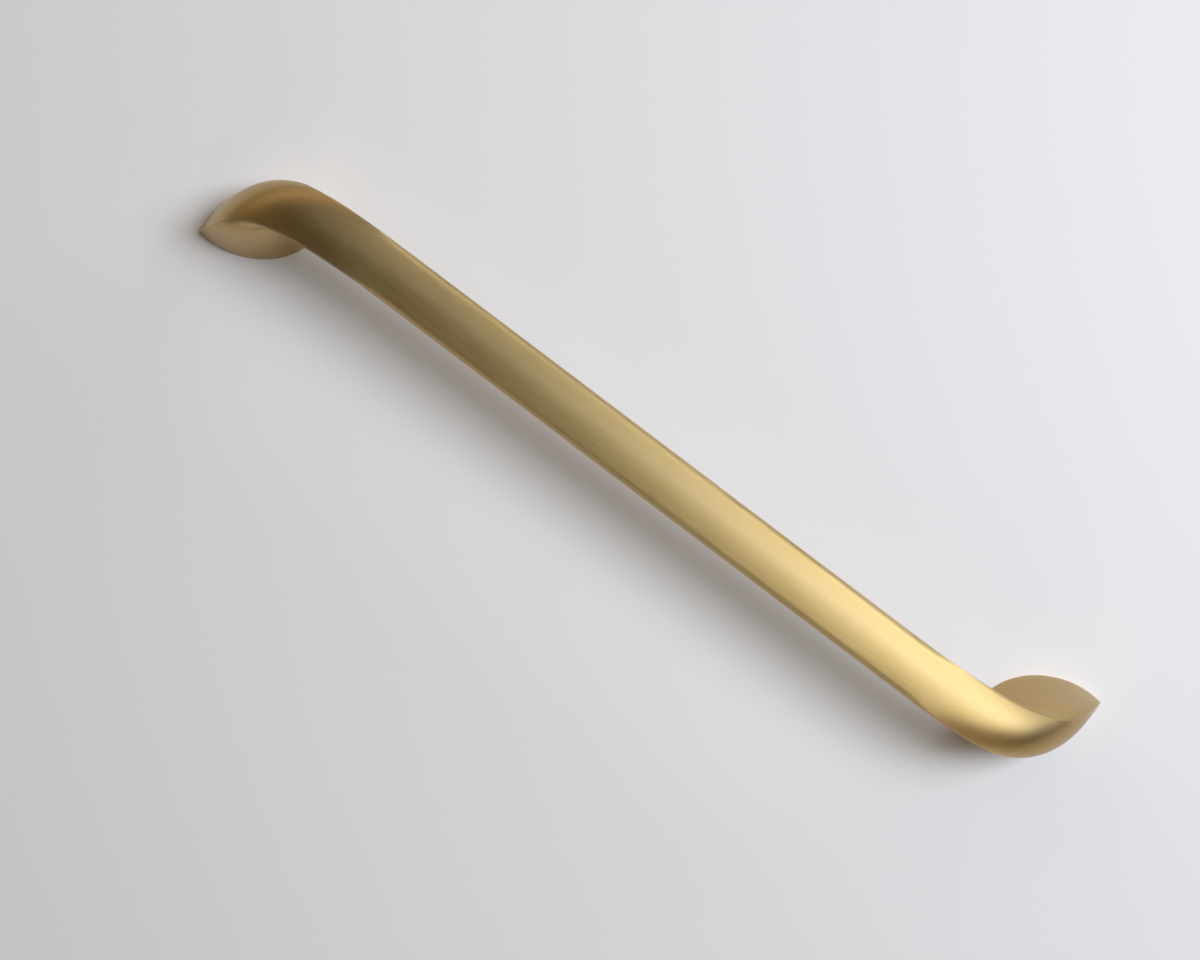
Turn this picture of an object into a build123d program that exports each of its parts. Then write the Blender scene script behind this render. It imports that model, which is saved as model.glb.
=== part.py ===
from build123d import *
import math
import os

# Cabinet pull, cast and brushed in one piece. The two feet stand on z = 0, the cabinet front. The grip runs
# along X, and the middle between the two feet is the origin. Half a turn about Z brings one foot onto the other.

# grip
hole_spacing = 224.0        # between the two screw holes
crest_height = 28.5         # the two edges of the grip, above the cabinet front
grip_half_width = 6.11      # from the middle line to an edge
grip_straight = 77.0        # from the origin to where an edge starts to swing out
grip_crown = 2.65           # rounded top, above the edges
grip_depth = 4.9            # belly, below the edges

# foot, given for the foot at the -X end
tip = (-129.5, -21.8)       # pointed end of the foot on the cabinet front
heel = (-109.0, 3.95)       # its other end, under the grip
foot_crown = 7.05           # rounded back of the foot, out from the line between tip and heel
foot_depth = 12.2           # its inner side, in from the same line

# how the two edges bend down from the grip to the foot: the middle points of a cubic curve
tip_edge_run = 49.2
tip_edge_fall = (8.9, 4.7, 28.5)
heel_edge_run = 34.2
heel_edge_fall = (-6.5, 0.1, 29.9)
heel_edge_lead = 0.9
bend_crown = 4.0
bend_depth = 6.1

# screw holes for M4, to the outside of the thread
hole_radius = 2.0
hole_depth = 12.0
drill_point = 1.2
mouth_bevel = 0.4

# belly of a section as a curve drawn towards these points, in half widths and depths, from the heel edge
# round to the tip edge. On the grip it swells past the edges into a soft shoulder.
grip_belly = [(1, 0), (1.466, 0.514), (0.638, 0.723), (0, 1.804), (-0.638, 0.723), (-1.466, 0.514), (-1, 0)]
foot_belly = [(1, 0), (0.973, 0.675), (0.67, 1.054), (0.207, 1.156), (-0.302, 1.002), (-0.743, 0.61), (-1, 0)]

leg_sections = 15
path_step = 0.01            # for the direction of the leg, as a share of its path
foot_turn = 5               # power of s that turns the sections flat onto the cabinet front, late in the leg
run_in = [-69.0, -73.0]     # two sections of the straight grip, so that the leg leaves it smoothly

tip_edge = [
    Vector(-grip_straight, -grip_half_width, crest_height),
    Vector(-grip_straight - tip_edge_run, -grip_half_width, crest_height),
    Vector(tip[0] + tip_edge_fall[0], tip[1] + tip_edge_fall[1], tip_edge_fall[2]),
    Vector(tip[0], tip[1], 0),
]
heel_edge = [
    Vector(-grip_straight, grip_half_width, crest_height),
    Vector(-grip_straight - heel_edge_run, grip_half_width, crest_height),
    Vector(heel[0] + heel_edge_fall[0], heel[1] + heel_edge_fall[1], heel_edge_fall[2]),
    Vector(heel[0], heel[1], 0),
]


def cubic(first, second, third, last, s):
    """A cubic curve through first and last, drawn towards second and third."""
    r = 1 - s
    return first * (r * r * r) + second * (3 * r * r * s) + third * (3 * r * s * s) + last * (s * s * s)


def tip_side(s):
    return cubic(*tip_edge, s)


def heel_side(s):
    return cubic(*heel_edge, s**heel_edge_lead)


def middle(s):
    return (tip_side(s) + heel_side(s)) * 0.5


def leg_plane(s):
    """The plane across the leg, with x from the tip edge to the heel edge and y towards the rounded back."""
    across = (heel_side(s) - tip_side(s)).normalized()
    rise = Vector(1, 0, 0)
    if s > 0:
        rise = (middle(max(s - path_step, 0.0)) - middle(min(s + path_step, 1.0))).normalized()
    back = rise.cross(across).normalized()
    outward = Vector(0, 0, 1).cross(across).normalized()
    turn = s**foot_turn
    back = back * (1 - turn) + outward * turn
    back = (back - across * back.dot(across)).normalized()
    return Plane(origin=middle(s), x_dir=across, z_dir=across.cross(back))


def crown_line(half, crown):
    """The rounded back: a curve very close to an arc over the width."""
    radius = (half * half + crown * crown) / (2 * crown)
    half_angle = math.asin(half / radius)
    reach = 4 / 3 * math.tan(half_angle / 2) * radius
    x = half - reach * math.cos(half_angle)
    y = reach * math.sin(half_angle)
    return [(-half, 0), (-x, y), (x, y), (half, 0)]


def belly_line(half, depth, ease):
    line = []
    for (grip_x, grip_y), (foot_x, foot_y) in zip(grip_belly, foot_belly):
        x = grip_x + (foot_x - grip_x) * ease
        y = grip_y + (foot_y - grip_y) * ease
        line.append((x * half, -y * depth))
    return line


def outlines(s):
    """Back and belly of the section at s, from the grip at 0 to the foot at 1."""
    half = (heel_side(s) - tip_side(s)).length / 2
    crown = cubic(grip_crown, grip_crown, bend_crown, foot_crown, s)
    depth = cubic(grip_depth, grip_depth, bend_depth, foot_depth, s)
    return crown_line(half, crown), belly_line(half, depth, s * s * (3 - 2 * s))


def grip_plane(x):
    return Plane(origin=(x, 0, crest_height), x_dir=(0, 1, 0), z_dir=(1, 0, 0))


with BuildPart() as end:
    sections = [(grip_plane(x), outlines(0)) for x in run_in]
    for i in range(leg_sections):
        s = i / (leg_sections - 1)
        sections.append((leg_plane(s), outlines(s)))
    for plane, (back, belly) in sections:
        with BuildSketch(plane):
            with BuildLine():
                Bezier(*back)
                Bezier(*belly)
            make_face()
    loft()

with BuildPart() as pull:
    for x in (run_in[0], -run_in[0]):
        with BuildSketch(grip_plane(x)):
            with BuildLine():
                back, belly = outlines(0)
                Bezier(*back)
                Bezier(*belly)
            make_face()
    loft()
    with PolarLocations(0, 2):
        add(end.part)
    with BuildSketch(Plane.XY):
        with GridLocations(hole_spacing, 0, 2, 1):
            Circle(hole_radius)
    extrude(amount=hole_depth, mode=Mode.SUBTRACT)
    with Locations(Pos(0, 0, hole_depth)):
        with GridLocations(hole_spacing, 0, 2, 1):
            Cone(hole_radius, 0, drill_point, align=(Align.CENTER, Align.CENTER, Align.MIN), mode=Mode.SUBTRACT)
    mouths = pull.edges().filter_by(GeomType.CIRCLE).group_by(Axis.Z)[0]
    chamfer(mouths, mouth_bevel)

pull.part.label = "pull"
os.makedirs("parts", exist_ok=True)
export_step(pull.part, "parts/pull.step")
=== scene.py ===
"""Looks of a brushed brass cabinet pull: a straight grip on two feet that flare and twist opposite ways."""

import logging
import math
from dataclasses import dataclass, field
from enum import Enum

import bpy
from mathutils import Matrix, Vector


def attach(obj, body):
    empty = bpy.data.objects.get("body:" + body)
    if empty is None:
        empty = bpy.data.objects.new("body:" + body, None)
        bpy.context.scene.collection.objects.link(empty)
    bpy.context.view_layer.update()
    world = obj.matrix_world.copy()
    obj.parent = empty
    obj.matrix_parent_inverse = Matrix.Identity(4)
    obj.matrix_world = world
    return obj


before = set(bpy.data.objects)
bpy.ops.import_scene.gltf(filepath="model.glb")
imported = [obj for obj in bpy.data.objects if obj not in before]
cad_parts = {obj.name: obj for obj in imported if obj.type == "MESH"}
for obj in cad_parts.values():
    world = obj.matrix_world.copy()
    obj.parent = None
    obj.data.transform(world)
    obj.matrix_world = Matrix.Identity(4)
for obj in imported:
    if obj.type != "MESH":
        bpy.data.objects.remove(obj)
bpy.context.view_layer.update()

LOG = logging.getLogger("cabinet_pull")

Colour = tuple[float, float, float]
Point = tuple[float, float, float]
Socket = bpy.types.NodeSocket


class End(Enum):
    """The two ends of the pull, by the side of the origin that they are on."""

    LEFT = -1
    RIGHT = 1


class Graph:
    """Short ways to add nodes to a material's or a group's node tree.

    Args:
        tree: The node tree that the nodes go into.
    """

    def __init__(self, tree: bpy.types.NodeTree) -> None:
        self.tree = tree

    def node(self, kind: str, **settings: object) -> bpy.types.Node:
        """Add a node.

        Args:
            kind: The node's type name.
            settings: Properties to set on it.

        Returns:
            The new node.
        """
        made = self.tree.nodes.new(kind)
        for name, value in settings.items():
            setattr(made, name, value)
        return made

    def feed(self, target: Socket, value: object) -> None:
        """Link a socket into another, or write a plain value on it.

        Args:
            target: The input socket.
            value: A socket to link, or a number or colour to write.
        """
        if isinstance(value, bpy.types.NodeSocket):
            self.tree.links.new(value, target)
        else:
            target.default_value = value

    def surface(self, name: str) -> Socket:
        """Return the Geometry node's socket of this name: Position, in metres, or Normal."""
        return self.node("ShaderNodeNewGeometry").outputs[name]

    def math(self, operation: str, *values: object) -> Socket:
        """Add a Math node.

        Args:
            operation: The node's operation.
            values: Its inputs, each a number or a socket.

        Returns:
            The result's socket.
        """
        made = self.node("ShaderNodeMath", operation=operation)
        for target, value in zip(made.inputs, values):
            self.feed(target, value)
        return made.outputs[0]

    def vector(self, operation: str, *values: object) -> Socket:
        """Add a Vector Math node.

        Args:
            operation: The node's operation.
            values: Its inputs, each a vector or a socket.

        Returns:
            The result's socket.
        """
        made = self.node("ShaderNodeVectorMath", operation=operation)
        for target, value in zip(made.inputs, values):
            self.feed(target, value)
        return made.outputs["Value"] if operation in ("DOT_PRODUCT", "LENGTH") else made.outputs["Vector"]

    def join(self, x: object, y: object, z: object) -> Socket:
        """Make a vector of three values.

        Args:
            x: The first value, a number or a socket.
            y: The second.
            z: The third.

        Returns:
            The vector's socket.
        """
        made = self.node("ShaderNodeCombineXYZ")
        for target, value in zip(made.inputs, (x, y, z)):
            self.feed(target, value)
        return made.outputs[0]

    def split(self, vector: Socket) -> tuple[Socket, Socket, Socket]:
        """Take a vector's three values apart.

        Args:
            vector: The vector's socket.

        Returns:
            Its x, y and z.
        """
        made = self.node("ShaderNodeSeparateXYZ")
        self.feed(made.inputs[0], vector)
        return made.outputs[0], made.outputs[1], made.outputs[2]

    def noise(self, vector: Socket, detail: float, roughness: float) -> Socket:
        """Add a noise texture whose grains are about one unit long.

        Args:
            vector: Where it is read.
            detail: Its number of octaves.
            roughness: How much the finer octaves count.

        Returns:
            The noise value, about 0.5 in the mean.
        """
        made = self.node("ShaderNodeTexNoise", noise_dimensions="3D")
        settings = {"Vector": vector, "Scale": 1.0, "Detail": detail, "Roughness": roughness}
        for name, value in settings.items():
            self.feed(made.inputs[name], value)
        return made.outputs["Fac"]

    def ramp(self, value: Socket, low: object, high: object, start: float = 0.0, end: float = 1.0) -> Socket:
        """Add a smooth step: start where the value is at low, end where it is at high.

        Args:
            value: What is read.
            low: The value at which the step begins.
            high: The value at which it is done.
            start: The result at low and before it.
            end: The result at high and past it.

        Returns:
            The result's socket.
        """
        made = self.node("ShaderNodeMapRange", interpolation_type="SMOOTHSTEP")
        names = ("Value", "From Min", "From Max", "To Min", "To Max")
        for name, given in zip(names, (value, low, high, start, end)):
            self.feed(made.inputs[name], given)
        return made.outputs["Result"]

    def blend(self, first: Socket, second: Socket, share: float) -> Socket:
        """Mix two numbers.

        Args:
            first: The first number.
            second: The second number.
            share: How much of the second, 0 to 1.

        Returns:
            The mixed number's socket.
        """
        kept = self.math("MULTIPLY", first, 1.0 - share)
        return self.math("ADD", kept, self.math("MULTIPLY", second, share))

    def mix(self, share: Socket, first: object, second: object) -> Socket:
        """Mix two colours.

        Args:
            share: How much of the second, 0 to 1.
            first: A colour or a socket.
            second: A colour or a socket.

        Returns:
            The mixed colour's socket.
        """
        made = self.node("ShaderNodeMix", data_type="RGBA")
        for index, value in ((0, share), (6, first), (7, second)):
            if isinstance(value, tuple):
                value = (*value, 1.0)
            self.feed(made.inputs[index], value)
        return made.outputs[2]

    def swap(self, share: Socket, first: Socket, second: Socket) -> Socket:
        """Mix two vectors.

        Args:
            share: How much of the second, 0 to 1.
            first: A vector's socket.
            second: A vector's socket.

        Returns:
            The mixed vector's socket.
        """
        made = self.node("ShaderNodeMix", data_type="VECTOR")
        for index, value in ((0, share), (4, first), (5, second)):
            self.feed(made.inputs[index], value)
        return made.outputs[1]

    def placed(self, group: bpy.types.NodeTree, position: Socket, **values: float) -> dict[str, Socket]:
        """Place a node group.

        Args:
            group: The group.
            position: What its Position input reads.
            values: Its other inputs, named with _ for a space.

        Returns:
            Its outputs by name.
        """
        made = self.node("ShaderNodeGroup", node_tree=group)
        self.feed(made.inputs["Position"], position)
        for name, value in values.items():
            made.inputs[name.replace("_", " ")].default_value = value
        return {s.name: s for s in made.outputs}

    def bumped(self, height: Socket, strength: float, distance: float,
               normal: Socket | None = None) -> Socket:
        """Add a Bump node.

        Args:
            height: The height, 0 to 1.
            strength: How much it counts.
            distance: What a height of 1 stands for, in metres.
            normal: The normal that it starts from, or nothing for the surface's own.

        Returns:
            The normal's socket.
        """
        made = self.node("ShaderNodeBump")
        settings = {"Strength": strength, "Distance": distance, "Height": height}
        for name, value in settings.items():
            self.feed(made.inputs[name], value)
        if normal is not None:
            self.feed(made.inputs["Normal"], normal)
        return made.outputs[0]


def new_group(name: str, inputs: dict[str, float], outputs: tuple[str, ...]) -> tuple[Graph, dict, dict]:
    """Start a shader node group of named number inputs and outputs, with a vector input first.

    Args:
        name: The group's name.
        inputs: Name and usual value of each number input.
        outputs: Names of the number outputs.

    Returns:
        The group's graph, its input sockets by name, and its output sockets by name.
    """
    tree = bpy.data.node_groups.new(name, "ShaderNodeTree")
    tree.interface.new_socket("Position", in_out="INPUT", socket_type="NodeSocketVector")
    for label, value in inputs.items():
        tree.interface.new_socket(label, in_out="INPUT", socket_type="NodeSocketFloat").default_value = value
    for label in outputs:
        tree.interface.new_socket(label, in_out="OUTPUT", socket_type="NodeSocketFloat")
    graph = Graph(tree)
    given = graph.node("NodeGroupInput")
    result = graph.node("NodeGroupOutput")
    return graph, {s.name: s for s in given.outputs if s.name}, {s.name: s for s in result.inputs if s.name}


def new_surface(name: str) -> tuple[bpy.types.Material, Graph, bpy.types.NodeInputs]:
    """Start a metal material.

    Args:
        name: The material's name.

    Returns:
        The material, its graph, and the inputs of its Principled BSDF.
    """
    made = bpy.data.materials.new(name)
    made.use_nodes = True
    made.node_tree.nodes.clear()
    graph = Graph(made.node_tree)
    shader = graph.node("ShaderNodeBsdfPrincipled")
    graph.feed(graph.node("ShaderNodeOutputMaterial").inputs["Surface"], shader.outputs[0])
    shader.inputs["Metallic"].default_value = 1.0
    return made, graph, shader.inputs


def brush_lines_group() -> bpy.types.NodeTree:
    """Fine scratches side by side: long along the first coordinate, thin along the other two.

    Returns:
        A group with the outputs Shade and Height, each about 0.5 in the mean.
    """
    usual = {"Line Length": 0.006, "Line Width": 0.00014, "Streak Width": 0.0006}
    streak_length = 1.6
    streak_share = 0.3
    graph, given, result = new_group("brush_lines", usual, ("Shade", "Height"))
    x, y, z = graph.split(given["Position"])
    layers = []
    for width, length in (("Line Width", 1.0), ("Streak Width", streak_length)):
        along = graph.math("DIVIDE", x, graph.math("MULTIPLY", given["Line Length"], length))
        across = [graph.math("DIVIDE", value, given[width]) for value in (y, z)]
        layers.append(graph.noise(graph.join(along, *across), detail=1.0, roughness=0.55))
    fine, broad = layers
    graph.feed(result["Shade"], graph.blend(fine, broad, streak_share))
    graph.feed(result["Height"], fine)
    return graph.tree


def tone_drift_group() -> bpy.types.NodeTree:
    """Slow, cloudy drift of tone over a hand-finished surface.

    Returns:
        A group with the output Drift, about 0.5 in the mean.
    """
    graph, given, result = new_group("tone_drift", {"Patch": 0.03}, ("Drift",))
    patch = graph.join(given["Patch"], given["Patch"], given["Patch"])
    scaled = graph.vector("DIVIDE", given["Position"], patch)
    graph.feed(result["Drift"], graph.noise(scaled, detail=2.0, roughness=0.6))
    return graph.tree


def speck_group() -> bpy.types.NodeTree:
    """Sparse pinhead pits and dust grains.

    Returns:
        A group with the output Speck, 1 on a speck and 0 elsewhere.
    """
    graph, given, result = new_group("specks", {"Spacing": 0.004, "Speck Size": 0.00012}, ("Speck",))
    spacing = graph.join(given["Spacing"], given["Spacing"], given["Spacing"])
    cells = graph.node("ShaderNodeTexVoronoi", voronoi_dimensions="3D", feature="F1")
    graph.feed(cells.inputs["Vector"], graph.vector("DIVIDE", given["Position"], spacing))
    graph.feed(cells.inputs["Scale"], 1.0)
    reach = graph.math("DIVIDE", given["Speck Size"], given["Spacing"])
    graph.feed(result["Speck"], graph.ramp(cells.outputs["Distance"], reach, 0.0))
    return graph.tree


@dataclass(frozen=True)
class Effects:
    """The node groups that the finishes share.

    Attributes:
        lines: The brush_lines group.
        drift: The tone_drift group.
        specks: The specks group.
    """

    lines: bpy.types.NodeTree
    drift: bpy.types.NodeTree
    specks: bpy.types.NodeTree


@dataclass(frozen=True)
class GrainPath:
    """The way the brushing runs: straight along the grip, then round each bend and down the foot.

    Attributes:
        bend_start: Distance from the origin, along the grip, where the lines start to turn down.
        bend_radius: Length of line for each radian of the turn.
        lowest: Least height at which the turn is measured.
    """

    bend_start: float = 0.086
    bend_radius: float = 0.026
    lowest: float = 0.0001

    def turn(self, graph: Graph) -> tuple[Socket, Socket, Socket]:
        """Build the nodes that find how far round its bend a point is.

        Args:
            graph: The material's nodes.

        Returns:
            The side of the origin as -1 or 1, the distance past the bend's start, and the turn in radians.
        """
        x, _, z = graph.split(graph.surface("Position"))
        side = graph.math("SIGN", x)
        beyond = graph.math("SUBTRACT", graph.math("ABSOLUTE", x), self.bend_start)
        past = graph.math("MAXIMUM", beyond, 0.0)
        height = graph.math("MAXIMUM", z, self.lowest)
        return side, past, graph.math("ARCTAN2", past, height)

    def coordinates(self, graph: Graph) -> Socket:
        """Build the nodes for a point's place along the lines and across them.

        Args:
            graph: The material's nodes.

        Returns:
            A vector whose x runs along the brushing and whose y and z run across it.
        """
        x, y, z = graph.split(graph.surface("Position"))
        side, past, turn = self.turn(graph)
        straight = graph.math("MINIMUM", graph.math("ABSOLUTE", x), self.bend_start)
        flat = graph.math("MULTIPLY", side, straight)
        round_bend = graph.math("MULTIPLY", side, graph.math("MULTIPLY", turn, self.bend_radius))
        reach = graph.vector("LENGTH", graph.join(past, z, 0.0))
        return graph.join(graph.math("ADD", flat, round_bend), y, reach)

    def across(self, graph: Graph) -> Socket:
        """Build the nodes for the direction in the surface that lies across the brushing.

        Args:
            graph: The material's nodes.

        Returns:
            The direction's socket.
        """
        side, _, turn = self.turn(graph)
        ahead = graph.math("MULTIPLY", side, graph.math("COSINE", turn))
        down = graph.math("MULTIPLY", graph.math("SINE", turn), -1.0)
        along = graph.join(ahead, 0.0, down)
        return graph.vector("NORMALIZE", graph.vector("CROSS_PRODUCT", along, graph.surface("Normal")))


@dataclass(frozen=True)
class CrispEdges:
    """The crisp edges of the pull, broken a little. The paler colour laid along them is partly wear from
    hands and partly a painted highlight.

    Attributes:
        radius: How far they are broken, in metres.
        line: Width of the band along them that the mask finds, in metres; the paler colour there is partly
            wear and partly a painted highlight.
        same: Likeness of a point's normal and those round it, 1 if equal, above which no edge is near.
        sharp: Likeness under which the point is on an edge.
        samples: Number of normals that are read round a point.
    """

    radius: float = 0.0001
    line: float = 0.00025
    same: float = 0.995
    sharp: float = 0.93
    samples: int = 4

    def normal_within(self, graph: Graph, radius: float) -> Socket:
        """Build the node for the mean of the normals round a point.

        Args:
            graph: The material's nodes.
            radius: How far round the point they are read, in metres.

        Returns:
            The mean normal's socket.
        """
        soft = graph.node("ShaderNodeBevel", samples=self.samples)
        soft.inputs["Radius"].default_value = radius
        return soft.outputs[0]

    def broken(self, graph: Graph) -> Socket:
        """Build the node for the normal of the surface with broken edges, and return its socket."""
        return self.normal_within(graph, self.radius)

    def mask(self, graph: Graph) -> Socket:
        """Build the nodes that find the edges.

        Args:
            graph: The material's nodes.

        Returns:
            1 on an edge and 0 away from it.
        """
        around = self.normal_within(graph, self.line)
        likeness = graph.vector("DOT_PRODUCT", around, graph.surface("Normal"))
        return graph.ramp(likeness, self.same, self.sharp)


@dataclass(frozen=True)
class GripSides:
    """The two sides of the grip, rubbed smoother and rounder than its face.

    Attributes:
        start: How far from its middle line the grip starts to be rounded off, in metres.
        width: Width of the rounding, in metres.
        deepest: Greatest depth in the sides that still counts, in widths.
        polish: How much less rough the sides are.
        fall: Fall of the rounding for the square of its width, per metre.
        low: Height under which the sides aren't rounded off any more.
        end: Distance from the middle at which the rounding starts to fade towards the feet.
        fade: Length over which it fades.
    """

    start: float = 0.005
    width: float = 0.0013
    deepest: float = 1.5
    polish: float = 0.3
    fall: float = 210.0
    low: float = 0.0245
    end: float = 0.077
    fade: float = 0.017

    def depth(self, graph: Graph) -> Socket:
        """Build the nodes that measure how far a point lies in the rounded sides.

        Args:
            graph: The material's nodes.

        Returns:
            The depth in metres, 0 on the face of the grip and on the feet.
        """
        x, y, z = graph.split(graph.surface("Position"))
        past = graph.math("SUBTRACT", graph.math("ABSOLUTE", y), self.start)
        inside = graph.math("MINIMUM", graph.math("MAXIMUM", past, 0.0), self.width * self.deepest)
        high = graph.ramp(z, self.low, self.low + self.width)
        straight = graph.ramp(graph.math("ABSOLUTE", x), self.end + self.fade, self.end)
        return graph.math("MULTIPLY", inside, graph.math("MULTIPLY", high, straight))

    def smoother(self, graph: Graph, depth: Socket) -> Socket:
        """Build the node for how much less rough a point at this depth is, and return its socket."""
        return graph.ramp(depth, 0.0, self.width, 0.0, self.polish)

    def rounded(self, graph: Graph, normal: Socket, depth: Socket) -> Socket:
        """Build the nodes that lean the normal outwards, as a rounded side has it.

        Args:
            graph: The material's nodes.
            normal: The normal without it.
            depth: Depth in the sides, in metres.

        Returns:
            The leaning normal's socket.
        """
        _, y, _ = graph.split(graph.surface("Position"))
        steepness = graph.math("MULTIPLY", depth, 2.0 * self.fall)
        outward = graph.join(0.0, graph.math("MULTIPLY", steepness, graph.math("SIGN", y)), 0.0)
        rise = graph.vector("DOT_PRODUCT", outward, normal)
        upward = graph.vector("MULTIPLY", normal, graph.join(rise, rise, rise))
        lean = graph.vector("SUBTRACT", outward, upward)
        return graph.vector("NORMALIZE", graph.vector("ADD", normal, lean))


@dataclass(frozen=True)
class ScrewHoles:
    """The two holes drilled up from the soles for M4 screws.

    Attributes:
        spacing: Distance between their middles.
        radius: Their radius.
        top: Height that they stay under.
        reach: How far from its middle the surface still belongs to a hole, in radii.
    """

    spacing: float = 0.224
    radius: float = 0.002
    top: float = 0.0145
    reach: float = 1.25

    def place(self, end: End) -> Point:
        """Return the middle of the hole at one end, on the sole."""
        return (end.value * self.spacing / 2, 0.0, 0.0)

    def mask(self, graph: Graph) -> Socket:
        """Build the nodes that find the holes.

        Args:
            graph: The material's nodes.

        Returns:
            1 in a hole and 0 elsewhere.
        """
        x, y, z = graph.split(graph.surface("Position"))
        low = graph.math("LESS_THAN", z, self.top)
        beside = []
        for end in End:
            middle = self.place(end)
            along = graph.math("SUBTRACT", x, middle[0])
            aside = graph.math("SUBTRACT", y, middle[1])
            away = graph.vector("LENGTH", graph.join(along, aside, 0.0))
            beside.append(graph.math("LESS_THAN", away, self.radius * self.reach))
        return graph.math("MULTIPLY", low, graph.math("MAXIMUM", *beside))


@dataclass(frozen=True)
class BrushedBrass:
    """Satin brass, brushed along the grip and down the feet, with ground soles and drilled holes.

    Attributes:
        deep: Colour in the bottom of the lines.
        pale: Colour on their crowns.
        wear_and_highlight: Colour laid along the crisp edges: partly wear from hands, partly a painted
            highlight.
        cut: Colour of freshly cut metal, in the holes and on the soles.
        dust: Colour of the specks.
        cloud_share: How much of the tone is the slow drift, and not the lines, 0 to 1.
        tone_range: The tones that count as the bottom of the lines and as their crowns.
        wear_and_highlight_share: How much of that paler colour, wear and painted highlight, the edges have,
            0 to 1.
        dust_share: How much of the dust's colour the specks have, 0 to 1.
        roughness: Roughness of the satin.
        rough_play: What the bottom of the lines and their crowns add to it.
        edge_polish: How much less rough the edges are.
        cut_polish: How much less rough freshly cut metal is.
        spread: How far a highlight is drawn out across the lines, 0 to 1.
        lacquer: How much of a clear satin lacquer lies over the metal.
        lacquer_roughness: Roughness of the lacquer.
        line_strength: How much the depth of the lines counts, 0 to 1.
        line_depth: Depth of the lines, in metres.
        sole_height: Height under which the surface is a ground sole.
        path: The way that the lines run.
        edges: The crisp edges.
        sides: The sides of the grip.
        holes: The screw holes.
    """

    deep: Colour = (0.54, 0.36, 0.112)
    pale: Colour = (0.72, 0.505, 0.215)
    wear_and_highlight: Colour = (0.88, 0.70, 0.38)
    cut: Colour = (0.80, 0.64, 0.34)
    dust: Colour = (0.42, 0.33, 0.2)
    cloud_share: float = 0.25
    tone_range: tuple[float, float] = (0.2, 0.8)
    wear_and_highlight_share: float = 0.8
    dust_share: float = 0.5
    roughness: float = 0.58
    rough_play: tuple[float, float] = (-0.05, 0.06)
    edge_polish: float = 0.08
    cut_polish: float = 0.2
    spread: float = 0.9
    lacquer: float = 0.5
    lacquer_roughness: float = 0.47
    line_strength: float = 0.25
    line_depth: float = 0.00002
    sole_height: float = 0.00002
    path: GrainPath = GrainPath()
    edges: CrispEdges = CrispEdges()
    sides: GripSides = GripSides()
    holes: ScrewHoles = ScrewHoles()

    def material(self, effects: Effects) -> bpy.types.Material:
        """Make the material of the pull.

        Args:
            effects: The shared node groups.

        Returns:
            The material.
        """
        made, graph, shader = new_surface("brushed_brass")
        position = graph.surface("Position")
        x, y, z = graph.split(position)
        sole = graph.math("LESS_THAN", z, self.sole_height)
        course = graph.swap(sole, self.path.coordinates(graph), graph.join(y, x, 0.0))
        brushed = graph.placed(effects.lines, course)
        clouds = graph.placed(effects.drift, position)
        specks = graph.placed(effects.specks, position)
        tone = graph.blend(brushed["Shade"], clouds["Drift"], self.cloud_share)
        edge = self.edges.mask(graph)
        depth = self.sides.depth(graph)
        machined = graph.math("MAXIMUM", sole, self.holes.mask(graph))

        graph.feed(shader["Base Color"], self.colour(graph, tone, edge, machined, specks["Speck"]))
        graph.feed(shader["Roughness"], self.satin(graph, tone, edge, machined, depth))
        shader["Anisotropic"].default_value = self.spread
        shader["Coat Weight"].default_value = self.lacquer
        shader["Coat Roughness"].default_value = self.lacquer_roughness
        graph.feed(shader["Tangent"], graph.swap(sole, self.path.across(graph), graph.join(1.0, 0.0, 0.0)))
        smooth = self.sides.rounded(graph, self.edges.broken(graph), depth)
        lined = graph.bumped(brushed["Height"], self.line_strength, self.line_depth, smooth)
        graph.feed(shader["Normal"], lined)
        return made

    def colour(self, graph: Graph, tone: Socket, edge: Socket, machined: Socket, speck: Socket) -> Socket:
        """Build the nodes for the colour.

        Args:
            graph: The material's nodes.
            tone: Tone of the lines and the drift.
            edge: 1 on the crisp edges.
            machined: 1 on freshly cut metal.
            speck: 1 on a speck.

        Returns:
            The colour's socket.
        """
        brass = graph.mix(graph.ramp(tone, *self.tone_range), self.deep, self.pale)
        # Paler colour along the crisp edges: partly wear, partly a painted highlight for the light line that
        # the edges reflect.
        worn_and_highlit = graph.mix(graph.math("MULTIPLY", edge, self.wear_and_highlight_share), brass, self.wear_and_highlight)
        bare = graph.mix(machined, worn_and_highlit, self.cut)
        return graph.mix(graph.math("MULTIPLY", speck, self.dust_share), bare, self.dust)

    def satin(self, graph: Graph, tone: Socket, edge: Socket, machined: Socket, depth: Socket) -> Socket:
        """Build the nodes for the roughness.

        Args:
            graph: The material's nodes.
            tone: Tone of the lines and the drift.
            edge: 1 on the crisp edges.
            machined: 1 on freshly cut metal.
            depth: Depth in the sides of the grip, in metres.

        Returns:
            The roughness's socket.
        """
        bottom, crown = (self.roughness + play for play in self.rough_play)
        rough = graph.ramp(tone, *self.tone_range, bottom, crown)
        smoother = graph.math("ADD", graph.math("MULTIPLY", edge, self.edge_polish),
                              graph.math("MULTIPLY", machined, self.cut_polish))
        smoother = graph.math("ADD", smoother, self.sides.smoother(graph, depth))
        return graph.math("SUBTRACT", rough, smoother)


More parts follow.
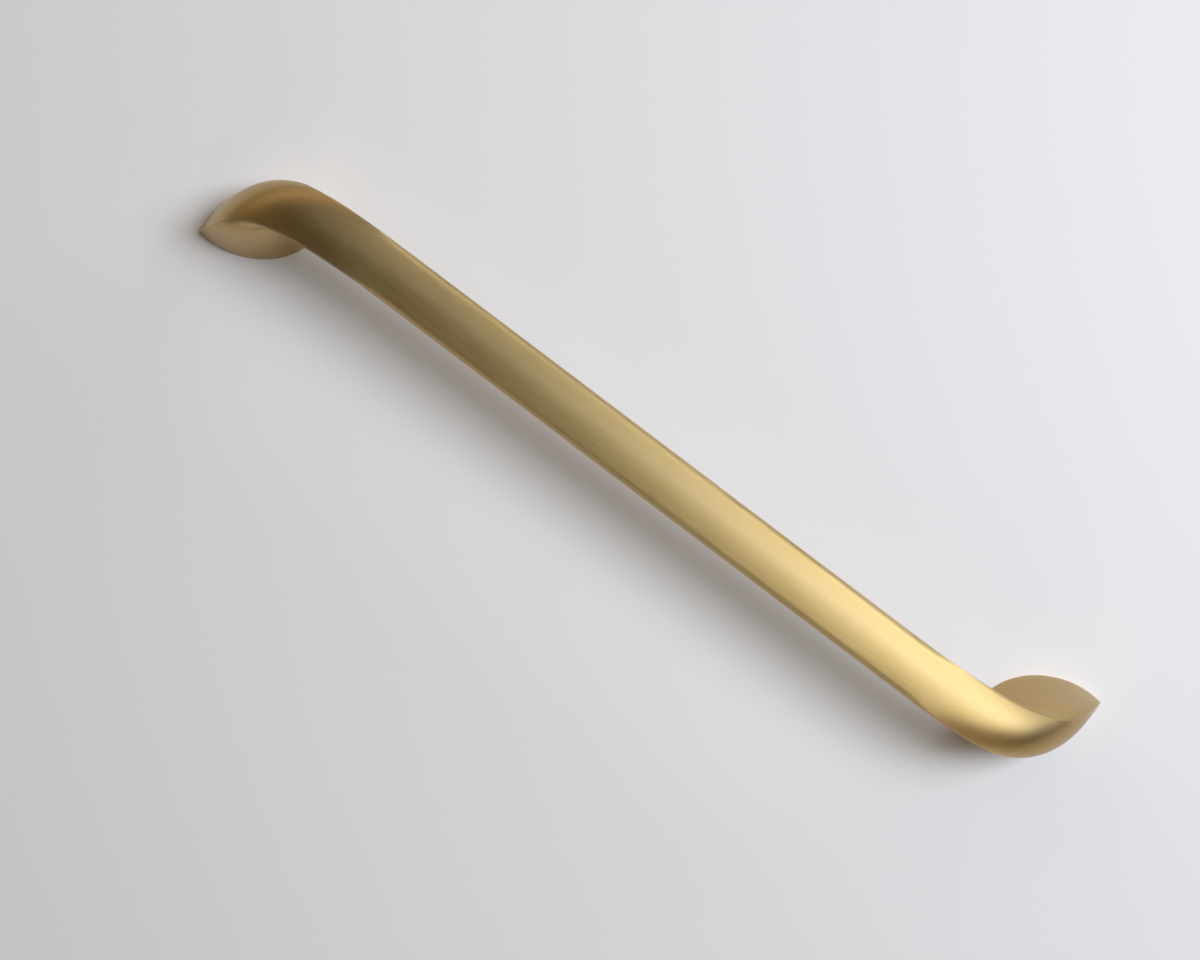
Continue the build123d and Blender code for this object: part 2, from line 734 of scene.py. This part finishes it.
@dataclass(frozen=True)
class CutBrass:
    """Bright brass as the tap leaves it, in the threads of the screw holes.

    Attributes:
        deep: Colour in the tool marks.
        pale: Colour between them.
        roughness: Roughness of the cut metal.
        rough_play: What the tool marks take from it, and what the metal between them adds.
        wall: Radius at which the tool marks are measured round the hole.
        mark_width: Width of the fine tool marks, in metres.
        streak_width: Width of the broad ones.
        patch: Size of the patches of drifting tone.
        cloud_share: How much of the tone is the drift, 0 to 1.
        colour_range: The tones that have the deep and the pale colour.
        rough_range: The tones that have the least and the most roughness.
        mark_strength: How much the depth of the marks counts, 0 to 1.
        mark_depth: Depth of the marks, in metres.
    """

    deep: Colour = (0.64, 0.48, 0.20)
    pale: Colour = (0.80, 0.64, 0.34)
    roughness: float = 0.3
    rough_play: float = 0.06
    wall: float = 0.0018
    mark_width: float = 0.00004
    streak_width: float = 0.0002
    patch: float = 0.002
    cloud_share: float = 0.3
    colour_range: tuple[float, float] = (0.25, 0.75)
    rough_range: tuple[float, float] = (0.2, 0.8)
    mark_strength: float = 0.3
    mark_depth: float = 0.00001

    def material(self, effects: Effects) -> bpy.types.Material:
        """Make the material of the threads.

        Args:
            effects: The shared node groups.

        Returns:
            The material.
        """
        made, graph, shader = new_surface("cut_brass")
        local = graph.node("ShaderNodeTexCoord").outputs["Object"]
        x, y, z = graph.split(local)
        course = graph.join(graph.math("MULTIPLY", graph.math("ARCTAN2", y, x), self.wall), 0.0, z)
        marks = graph.placed(effects.lines, course,
                             Line_Width=self.mark_width, Streak_Width=self.streak_width)
        clouds = graph.placed(effects.drift, local, Patch=self.patch)
        tone = graph.blend(marks["Shade"], clouds["Drift"], self.cloud_share)
        low, high = self.roughness - self.rough_play, self.roughness + self.rough_play
        brass = graph.mix(graph.ramp(tone, *self.colour_range), self.deep, self.pale)
        graph.feed(shader["Base Color"], brass)
        graph.feed(shader["Roughness"], graph.ramp(tone, *self.rough_range, low, high))
        graph.feed(shader["Normal"], graph.bumped(marks["Height"], self.mark_strength, self.mark_depth))
        return made


@dataclass(frozen=True)
class Camera:
    """The camera, straight above the pull on its cabinet front, with the grip slanting down to the right.

    Attributes:
        place: Where the camera is.
        aim: The point that it looks at.
        right: The direction in the room that runs to the right of the picture.
        lens: Focal length, in millimetres.
        sensor: Width of the sensor, in millimetres.
        clip: The nearest and the farthest distance that it sees.
    """

    place: Point = (-0.0146, 0.0065, 0.521)
    aim: Point = (-0.0084, -0.0104, 0.0)
    right: Point = (0.79751707, 0.60329639, 0.0)
    lens: float = 60.57
    sensor: float = 36.0
    clip: tuple[float, float] = (0.01, 20.0)

    def build(self) -> bpy.types.Object:
        """Make the camera and use it for the scene.

        Returns:
            The camera.
        """
        data = bpy.data.cameras.new("camera")
        data.lens = self.lens
        data.sensor_width = self.sensor
        data.clip_start, data.clip_end = self.clip
        made = bpy.data.objects.new("camera", data)
        bpy.context.scene.collection.objects.link(made)
        back = (Vector(self.place) - Vector(self.aim)).normalized()
        up = back.cross(Vector(self.right)).normalized()
        turned = Matrix((up.cross(back), up, back)).transposed()
        made.matrix_world = Matrix.Translation(self.place) @ turned.to_4x4()
        bpy.context.scene.camera = made
        return made


@dataclass(frozen=True)
class Softbox:
    """A rectangular soft lamp that faces the pull.

    Attributes:
        name: The lamp's name.
        towards: Direction from the pull to the lamp.
        distance: How far away it is.
        size: Its width and height.
        power: Its power in watts.
        colour: Its colour.
    """

    name: str
    towards: Point
    distance: float
    size: tuple[float, float]
    power: float
    colour: Colour = (1.0, 1.0, 1.0)

    def build(self) -> bpy.types.Object:
        """Make the lamp.

        Returns:
            The lamp.
        """
        data = bpy.data.lights.new(self.name, "AREA")
        data.shape = "RECTANGLE"
        data.size, data.size_y = self.size
        data.energy = self.power
        data.color = self.colour
        made = bpy.data.objects.new(self.name, data)
        bpy.context.scene.collection.objects.link(made)
        away = Vector(self.towards).normalized()
        made.location = away * self.distance
        made.rotation_euler = away.to_track_quat("Z", "Y").to_euler()
        return made


@dataclass(frozen=True)
class Studio:
    """A pale cabinet front that lies as the floor, soft lamps and an even room.

    Attributes:
        floor_half: Half the width of the floor.
        floor_colour: Its colour.
        floor_roughness: Its roughness.
        room: Colour of the room's light.
        room_strength: Strength of the room's light.
        seen: Colour of the room behind the floor's edge, as the camera sees it.
        lamps: The soft lamps.
    """

    floor_half: float = 1.4
    floor_colour: Colour = (0.812, 0.75, 0.668)
    floor_roughness: float = 0.65
    room: Colour = (1.0, 0.86, 0.70)
    room_strength: float = 0.03
    seen: Colour = (0.80, 0.80, 0.80)
    lamps: tuple[Softbox, ...] = (
        Softbox("key_softbox", (0.37, 0.47, 1.0), 1.1, (0.42, 0.72), 13.6, (0.72, 0.82, 1.0)),
        Softbox("ceiling", (-0.3, 0.35, 1.0), 1.6, (1.0, 1.0), 0.7, (1.0, 0.86, 0.66)),
        Softbox("side_window", (0.45, 2.5, 0.6), 1.6, (1.6, 0.6), 7.2, (0.82, 0.92, 1.0)),
        Softbox("low_fill", (0.65, -0.90, 0.50), 1.6, (0.4, 1.2), 2.1, (1.0, 0.78, 0.50)),
        Softbox("left_card", (-1.2, 0.5, 0.62), 1.6, (1.6, 1.0), 5.2, (1.0, 0.84, 0.66)),
        Softbox("right_card", (1.0, -0.1, 0.22), 1.6, (1.4, 0.5), 1.8),
    )

    def build(self) -> None:
        """Make the floor, the lamps and the room."""
        self.build_floor()
        for lamp in self.lamps:
            lamp.build()
        self.build_room()

    def build_floor(self) -> bpy.types.Object:
        """Make the floor.

        Returns:
            The floor.
        """
        mesh = bpy.data.meshes.new("cabinet_front")
        half = self.floor_half
        corners = [(-half, -half, 0.0), (half, -half, 0.0), (half, half, 0.0), (-half, half, 0.0)]
        mesh.from_pydata(corners, [], [(0, 1, 2, 3)])
        made = bpy.data.objects.new("cabinet_front", mesh)
        bpy.context.scene.collection.objects.link(made)
        painted = bpy.data.materials.new("painted_front")
        painted.use_nodes = True
        shader = painted.node_tree.nodes["Principled BSDF"]
        shader.inputs["Roughness"].default_value = self.floor_roughness
        shader.inputs["Base Color"].default_value = (*self.floor_colour, 1.0)
        mesh.materials.append(painted)
        return made

    def build_room(self) -> None:
        """Make the room's light."""
        world = bpy.data.worlds.new("room")
        bpy.context.scene.world = world
        world.use_nodes = True
        world.node_tree.nodes.clear()
        graph = Graph(world.node_tree)
        lit = graph.node("ShaderNodeBackground")
        lit.inputs["Color"].default_value = (*self.room, 1.0)
        lit.inputs["Strength"].default_value = self.room_strength
        shown = graph.node("ShaderNodeBackground")
        shown.inputs["Color"].default_value = (*self.seen, 1.0)
        either = graph.node("ShaderNodeMixShader")
        graph.feed(either.inputs[0], graph.node("ShaderNodeLightPath").outputs["Is Camera Ray"])
        graph.feed(either.inputs[1], lit.outputs[0])
        graph.feed(either.inputs[2], shown.outputs[0])
        graph.feed(graph.node("ShaderNodeOutputWorld").inputs["Surface"], either.outputs[0])


@dataclass
class Pull:
    """The pull itself, one piece of brass, with the finish that its surface has.

    Attributes:
        node: The CAD node's name.
        finish: The finish.
    """

    node: str = "pull"
    finish: BrushedBrass = field(default_factory=BrushedBrass)

    def dress(self, effects: Effects) -> bpy.types.Object:
        """Give the CAD node its finish.

        Args:
            effects: The shared node groups.

        Returns:
            The CAD node's object.
        """
        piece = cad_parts[self.node]
        brass = self.finish.material(effects)
        for slot in piece.material_slots:
            slot.material = brass
        return piece


@dataclass
class ScrewThread:
    """The thread tapped into one foot for an M4 screw: a ridge that winds up the drilled hole.

    Attributes:
        end: The end of the pull that it is in.
        holes: The screw holes, in whose wall the ridge stands.
        inner: Radius of the ridge's crest.
        sunk: How far the foot of the ridge lies inside the metal.
        pitch: Rise of each turn.
        start: Height of the ridge's middle at its lower end.
        stop: Height of its middle at the upper end.
        fade: Part of a turn over which the ridge grows to its full depth.
        steps: Points round each turn.
        outline: The ridge's section, as a share of its depth and of the pitch.
    """

    end: End
    holes: ScrewHoles = ScrewHoles()
    inner: float = 0.00165
    sunk: float = 0.00003
    pitch: float = 0.0007
    start: float = 0.0008
    stop: float = 0.0112
    fade: float = 0.5
    steps: int = 32
    outline: tuple[tuple[float, float], ...] = ((0.0, -0.44), (1.0, -0.08), (1.0, 0.08), (0.0, 0.44))

    def ring(self, turns: float, total: float) -> list[Point]:
        """Find the ridge's section at one place.

        Args:
            turns: Turns from the lower end.
            total: Turns of the whole thread.

        Returns:
            The points of the section, from the hole's mouth.
        """
        grown = min(1.0, turns / self.fade, (total - turns) / self.fade)
        outer = self.holes.radius
        angle = 2 * math.pi * turns
        points = []
        for depth, rise in self.outline:
            radius = outer - (outer - self.inner) * grown if depth else outer + self.sunk
            height = self.start + (turns + rise) * self.pitch
            points.append((radius * math.cos(angle), radius * math.sin(angle), height))
        return points

    def build(self, metal: bpy.types.Material) -> bpy.types.Object:
        """Make the thread.

        Args:
            metal: Its material.

        Returns:
            The thread's object, which rides on the pull.
        """
        total = (self.stop - self.start) / self.pitch
        count = int(total * self.steps)
        sides = len(self.outline)
        points, faces = [], []
        for i in range(count + 1):
            points += self.ring(total * i / count, total)
        for i in range(count):
            for j in range(sides):
                k = (j + 1) % sides
                low, high = i * sides, (i + 1) * sides
                faces.append((low + j, low + k, high + k, high + j))
        faces.append(tuple(reversed(range(sides))))
        faces.append(tuple(range(count * sides, (count + 1) * sides)))
        mesh = bpy.data.meshes.new(f"thread_{self.end.name.lower()}")
        mesh.from_pydata(points, [], faces)
        mesh.materials.append(metal)
        made = bpy.data.objects.new(mesh.name, mesh)
        bpy.context.scene.collection.objects.link(made)
        made.location = self.holes.place(self.end)
        bpy.context.view_layer.update()
        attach(made, "root")
        return made


def main() -> None:
    """Build the pull's looks and the studio, and report each piece."""
    logging.basicConfig(level=logging.INFO, format="%(name)s: %(message)s")
    bpy.context.scene.view_settings.view_transform = "Standard"
    effects = Effects(brush_lines_group(), tone_drift_group(), speck_group())
    pull = Pull().dress(effects)
    LOG.info("dressed %s, %d faces", pull.name, len(pull.data.polygons))
    cut = CutBrass().material(effects)
    for end in End:
        thread = ScrewThread(end).build(cut)
        LOG.info("built %s, %d faces", thread.name, len(thread.data.polygons))
    Studio().build()
    Camera().build()


if __name__ == "__main__":
    main()
